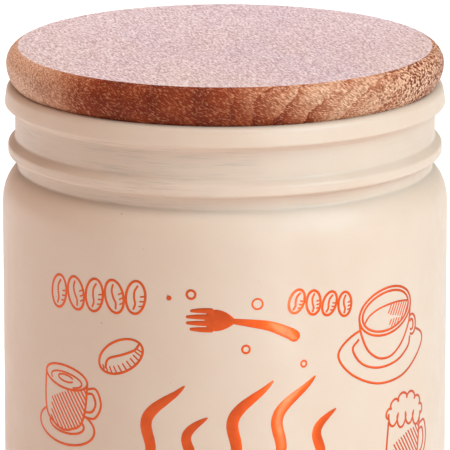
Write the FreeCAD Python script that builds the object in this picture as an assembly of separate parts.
"""Coffee tin: a beaded, painted steel canister with a push-in wooden lid.

Frame: millimetres, +Z up, origin on the tin's axis in the plane it stands on. Every piece is turned about +Z,
and the tin's welded side seam lies at +Y. Each piece is written to parts/NODE.step.
"""

import FreeCAD, Part
import math
import os

# ---- driving dimensions, in millimetres ----
BODY_R = 50.0  # outside of the straight wall
MOUTH_Z = 126.0  # top land of the mouth ring, on which the lid rests
MOUTH_R = 43.0  # inside of the mouth ring's skirt
WALL_T = 0.40  # body sheet with its paint
END_T = 0.35  # sheet of the bottom end and the mouth ring
SEAM_GAP = 0.05  # between the layers of a double seam
COMPOUND_T = 0.30  # seaming compound
LID_T = 8.5
LID_R = 49.0  # widest part of the lid's edge

# ---- double seam at the bottom ----
SEAM_H = 3.3
HOOK_END_GAP = 0.20  # between a hook's cut edge and the turn that it sits in
TURN_R = 0.22  # inside of a hook's turn, a little under half the gap between its two walls

# ---- neck, measured down from MOUTH_Z ----
NECK_R = 47.1  # upper recess, between the mouth seam and the bead
BEAD_R = 48.7
BEAD_LOW, BEAD_HIGH = 15.6, 13.3  # the bead's widest band
RECESS_LOW, RECESS_HIGH = 11.9, 5.8  # the upper recess
GROOVE_R = 46.5  # lower recess, between the bead and the shoulder
GROOVE_LOW, GROOVE_HIGH = 18.8, 15.8
SHOULDER_R = 10.2  # rounding from the straight wall into the neck
SHOULDER_DROP = 26.9  # where that rounding starts

# ---- mouth seam ----
RIM_R = 49.45  # lower corner of the mouth ring's outer wall, before its turn
RIM_TOP_R = 48.85  # upper corner, likewise
RIM_ROUND = 1.3  # inside of the turn there
RIM_H = 4.6
MOUTH_COMPOUND_T = 0.50  # thicker, because it fills the rounded rim
SKIRT_H = 8.9

# ---- lid ----
LID_TOP_R = 46.3  # edge of the flat top
LID_UNDER_R = 47.2  # edge of the flat underside
LID_WIDEST_Z = 4.7  # height of LID_R above the underside
PLUG_T = 9.0
PLUG_R = 41.3
GROOVE_FLOOR_R = 39.6  # floor of the plug's groove for the seal
SEAL_H = 5.0
SEAL_FINS = 3
SEAL_FIT = 0.05  # seal in its groove, radially and at each end
FIN_FIT = 0.08  # fin tips to the mouth

# ---- welded side seam ----
LAP_W, LAP_T = 3.0, 0.30
LAP_LOW, LAP_HIGH = 10.0, 97.0


def point(r, z):
    return FreeCAD.Vector(r, 0, z)


def unit(a, b):
    d = math.hypot(b[0] - a[0], b[1] - a[1])
    return (b[0] - a[0]) / d, (b[1] - a[1]) / d


def offset_corners(corners, t):
    """The same path moved t to its left. A left turn's radius shrinks by t, and a right turn's grows."""
    sides = [unit(a, b) for a, b in zip(corners, corners[1:])]
    moved = []
    for i, (r, z, radius) in enumerate(corners):
        u = sides[max(0, i - 1)]
        v = sides[min(i, len(sides) - 1)]
        turn = u[0] * v[1] - u[1] * v[0]
        share = t / (1 + u[0] * v[0] + u[1] * v[1])
        r_new = r - (u[1] + v[1]) * share
        z_new = z + (u[0] + v[0]) * share
        moved.append((r_new, z_new, radius - math.copysign(t, turn) if turn and radius else 0.0))
    return moved


def rounded_edges(corners):
    """Edges of a path in the XZ plane through (r, z, radius) corners, each turned at its radius."""
    edges, at = [], point(*corners[0][:2])
    for before, here, after in zip(corners, corners[1:], corners[2:]):
        u, v = unit(here, before), unit(here, after)
        half = math.acos(max(-1.0, min(1.0, u[0] * v[0] + u[1] * v[1]))) / 2
        corner = point(*here[:2])
        if here[2] <= 0:
            edges.append(Part.LineSegment(at, corner).toShape())
            at = corner
            continue
        back = here[2] / math.tan(half)
        start, end = corner + point(*u) * back, corner + point(*v) * back
        inwards = (point(*u) + point(*v)).normalize()
        middle = corner + inwards * (here[2] / math.sin(half) - here[2])
        if (start - at).Length > 1e-6:
            edges.append(Part.LineSegment(at, start).toShape())
        edges.append(Part.Arc(start, middle, end).toShape())
        at = end
    edges.append(Part.LineSegment(at, point(*corners[-1][:2])).toShape())
    return edges


def turned(edges, degrees=360.0):
    """The solid that a closed outline makes when it turns about +Z."""
    face = Part.Face(Part.Wire(Part.__sortEdges__(edges)))
    return face.revolve(FreeCAD.Vector(0, 0, 0), FreeCAD.Vector(0, 0, 1), degrees)


def sheet(corners, t):
    """A turned sheet of thickness t, lying to the left of the path."""
    other = offset_corners(corners, t)
    caps = [
        Part.LineSegment(point(*corners[k][:2]), point(*other[k][:2])).toShape() for k in (0, -1)
    ]
    return turned(rounded_edges(corners) + rounded_edges(other) + caps)


def block(corners):
    """A turned solid from one closed outline of corners."""
    closed = corners + [corners[0]]
    return turned(rounded_edges(closed))


def bottom_layers():
    """Radii of the bottom seam's layers, from the outside in."""
    hook_out = BODY_R - END_T - SEAM_GAP
    cover_out = hook_out - WALL_T - SEAM_GAP
    wall_out = cover_out - END_T - SEAM_GAP
    chuck_out = wall_out - WALL_T - SEAM_GAP
    return hook_out, cover_out, wall_out, chuck_out


def mouth_layers():
    """Radii of the mouth seam's layers: body hook, cover hook and body wall, each at its outer face."""
    hook_out = RIM_TOP_R - END_T - 0.05
    cover_out = hook_out - WALL_T - SEAM_GAP
    wall_out = cover_out - END_T - SEAM_GAP
    return hook_out, cover_out, wall_out


def make_body_wall():
    """The wall's outer face, followed from the bottom hook up to the mouth hook, with the sheet on its left."""
    hook_out, _, wall_out, _ = bottom_layers()
    hook_floor = END_T + COMPOUND_T + 2 * SEAM_GAP + WALL_T
    hook_top = SEAM_H - END_T - HOOK_END_GAP
    mouth_hook, _, mouth_wall = mouth_layers()
    turn_z = MOUTH_Z - END_T - MOUTH_COMPOUND_T - 2 * SEAM_GAP - WALL_T
    shoulder_z = MOUTH_Z - SHOULDER_DROP
    groove_z = MOUTH_Z - GROOVE_LOW
    # The shoulder's corner is where tangents of one length, from the wall and from the groove, would meet.
    rise, narrowing = groove_z - shoulder_z, BODY_R - GROOVE_R
    corner_z = shoulder_z + (rise**2 + narrowing**2) / (2 * rise)
    path = [
        (hook_out - WALL_T, hook_top, 0),
        (hook_out - WALL_T, hook_floor, TURN_R),
        (wall_out, hook_floor, TURN_R),
        (wall_out, SEAM_H + 0.9, 2.5),
        (BODY_R, SEAM_H + 4.3, 2.5),
        (BODY_R, corner_z, SHOULDER_R),
        (GROOVE_R, groove_z, 0.8),
        (GROOVE_R, MOUTH_Z - GROOVE_HIGH, 0.6),
        (BEAD_R, MOUTH_Z - BEAD_LOW, 0.7),
        (BEAD_R, MOUTH_Z - BEAD_HIGH, 0.9),
        (NECK_R, MOUTH_Z - RECESS_LOW, 0.8),
        (NECK_R, MOUTH_Z - RECESS_HIGH, 0.8),
        (mouth_wall, MOUTH_Z - RIM_H - 0.2, 0.5),
        (mouth_wall, turn_z, TURN_R),
        (mouth_hook - WALL_T, turn_z, TURN_R),
        (mouth_hook - WALL_T, MOUTH_Z - RIM_H + END_T + HOOK_END_GAP, 0),
    ]
    wall = sheet(path, WALL_T)
    # The weld's inner lap: a short arc of a thicker ring, turned to lie at +Y.
    half_angle = math.degrees(LAP_W / 2 / BODY_R)
    inner = BODY_R - WALL_T
    lap_outline = [
        (inner - LAP_T, LAP_LOW, 0),
        (inner + WALL_T / 2, LAP_LOW, 0),
        (inner + WALL_T / 2, LAP_HIGH, 0),
        (inner - LAP_T, LAP_HIGH, 0),
    ]
    closed = lap_outline + [lap_outline[0]]
    lap = turned(rounded_edges(closed), 2 * half_angle)
    lap.rotate(FreeCAD.Vector(0, 0, 0), FreeCAD.Vector(0, 0, 1), 90 - half_angle)
    return wall.fuse(lap)


def make_bottom_end():
    """The bottom end, followed from its cover hook round the seam and up to the panel, with the sheet on its left."""
    hook_out, cover_out, _, chuck_out = bottom_layers()
    hook_floor = END_T + COMPOUND_T + 2 * SEAM_GAP + WALL_T
    panel_z = SEAM_H + 1.3
    bead_z = panel_z - 1.0
    bead_out, bead_in, bead_slope = 44.4, 33.6, 0.9
    path = [
        (cover_out, hook_floor + HOOK_END_GAP, 0),
        (cover_out, SEAM_H - END_T, TURN_R),
        (hook_out + SEAM_GAP, SEAM_H - END_T, TURN_R),
        (hook_out + SEAM_GAP, END_T, 0.3),
        (chuck_out, END_T, 0.3),
        (chuck_out, panel_z, 1.2),
        (bead_out, panel_z, 0.9),
        (bead_out - bead_slope, bead_z, 0.9),
        (bead_in + bead_slope, bead_z, 0.9),
        (bead_in, panel_z, 0.9),
        (0, panel_z, 0),
    ]
    other = offset_corners(path, END_T)
    caps = [
        Part.LineSegment(point(*path[0][:2]), point(*other[0][:2])).toShape(),
        Part.LineSegment(point(0, panel_z), point(0, panel_z - END_T)).toShape(),
    ]
    return turned(rounded_edges(path) + rounded_edges(other) + caps)


def make_bottom_compound():
    hook_out, _, wall_out, _ = bottom_layers()
    low = END_T + SEAM_GAP
    high = low + COMPOUND_T
    inner, outer = wall_out - WALL_T + 0.3, hook_out - 0.3
    return block([(inner, low, 0), (outer, low, 0), (outer, high, 0), (inner, high, 0)])


def make_mouth_ring():
    """The mouth ring, followed from its cover hook round the rim, over the land and down the skirt."""
    hook_out, cover_out, _ = mouth_layers()
    floor_z = MOUTH_Z - RIM_H + END_T
    under_land = MOUTH_Z - END_T
    path = [
        (MOUTH_R + END_T, MOUTH_Z - SKIRT_H, 0),
        (MOUTH_R + END_T, under_land, 0.5),
        (RIM_TOP_R - END_T, under_land, RIM_ROUND),
        (RIM_R - END_T, floor_z, 0.3),
        (cover_out, floor_z, 0.3),
        (cover_out, MOUTH_Z - END_T - MOUTH_COMPOUND_T - 2 * SEAM_GAP - WALL_T - HOOK_END_GAP, 0),
    ]
    return sheet(path, END_T)


def make_mouth_compound():
    hook_out, _, wall_out = mouth_layers()
    high = MOUTH_Z - END_T - 0.08
    low = MOUTH_Z - END_T - SEAM_GAP - MOUTH_COMPOUND_T
    inner, outer = wall_out - WALL_T + 0.1, hook_out - 0.7
    return block([(inner, low, 0), (outer, low, 0), (outer, high, 0), (inner, high, 0)])


def side_arc(r_low, z_low, r_high, z_high, widest_is_low):
    """A quarter-like arc between two points, upright at its widest one, with that end's radius worked out."""
    dz, dr = z_high - z_low, abs(r_high - r_low)
    radius = (dr * dr + dz * dz) / (2 * dr)
    r_wide, z_wide = (r_low, z_low) if widest_is_low else (r_high, z_high)
    half = math.asin(dz / radius) / 2
    middle_z = z_wide + radius * math.sin(half) * (1 if widest_is_low else -1)
    middle = point(r_wide - radius * (1 - math.cos(half)), middle_z)
    return Part.Arc(point(r_low, z_low), middle, point(r_high, z_high)).toShape()


def make_lid_disc():
    top_z, wide_z = MOUTH_Z + LID_T, MOUTH_Z + LID_WIDEST_Z
    outline = [
        Part.LineSegment(point(0, MOUTH_Z), point(LID_UNDER_R, MOUTH_Z)).toShape(),
        side_arc(LID_UNDER_R, MOUTH_Z, LID_R, wide_z, False),
        side_arc(LID_R, wide_z, LID_TOP_R, top_z, True),
        Part.LineSegment(point(LID_TOP_R, top_z), point(0, top_z)).toShape(),
        Part.LineSegment(point(0, top_z), point(0, MOUTH_Z)).toShape(),
    ]
    return turned(outline)


def seal_levels():
    """Lower and upper wall of the plug's groove."""
    middle = MOUTH_Z - PLUG_T / 2 + 0.5
    half = SEAL_H / 2 + SEAL_FIT
    return middle - half, middle + half


def make_lid_plug():
    low, high = MOUTH_Z - PLUG_T, MOUTH_Z
    groove_low, groove_high = seal_levels()
    return block(
        [
            (0, low, 0),
            (PLUG_R, low, 0.8),
            (PLUG_R, groove_low, 0.3),
            (GROOVE_FLOOR_R, groove_low, 0),
            (GROOVE_FLOOR_R, groove_high, 0),
            (PLUG_R, groove_high, 0),
            (PLUG_R, high, 0),
            (0, high, 0),
        ]
    )


def make_seal_ring():
    """A band with fins that lean up and out to the mouth."""
    groove_low, groove_high = seal_levels()
    low, high = groove_low + SEAL_FIT, groove_high - SEAL_FIT
    inner, band_r, tip_r = GROOVE_FLOOR_R + SEAL_FIT, PLUG_R - 0.3, MOUTH_R - FIN_FIT
    pitch = (high - low) / SEAL_FINS
    root_h, tip_h, lean = 0.95, 0.5, 0.25
    outline = [(inner, low, 0), (band_r, low, 0)]
    for k in range(SEAL_FINS):
        foot = low + (k + 0.5) * pitch - root_h / 2
        tip = foot + lean + (root_h - tip_h) / 2
        outline += [
            (band_r, foot, 0),
            (tip_r, tip, 0.15),
            (tip_r, tip + tip_h, 0.15),
            (band_r, foot + root_h, 0),
        ]
    outline += [(band_r, high, 0), (inner, high, 0)]
    return block(outline)


PIECES = {
    "body_wall": make_body_wall,
    "bottom_end": make_bottom_end,
    "bottom_seam_compound": make_bottom_compound,
    "mouth_ring": make_mouth_ring,
    "mouth_seam_compound": make_mouth_compound,
    "lid_disc": make_lid_disc,
    "lid_plug": make_lid_plug,
    "seal_ring": make_seal_ring,
}


def main():
    os.makedirs("parts", exist_ok=True)
    for node, make in PIECES.items():
        shape = make()
        box = shape.BoundBox
        print(
            f"{node}: {len(shape.Solids)} solid, valid {shape.isValid()}, {shape.Volume:.1f} mm3,"
            f" z {box.ZMin:.2f} to {box.ZMax:.2f}, r {box.XMax:.2f}"
        )
        shape.exportStep(f"parts/{node}.step")


main()
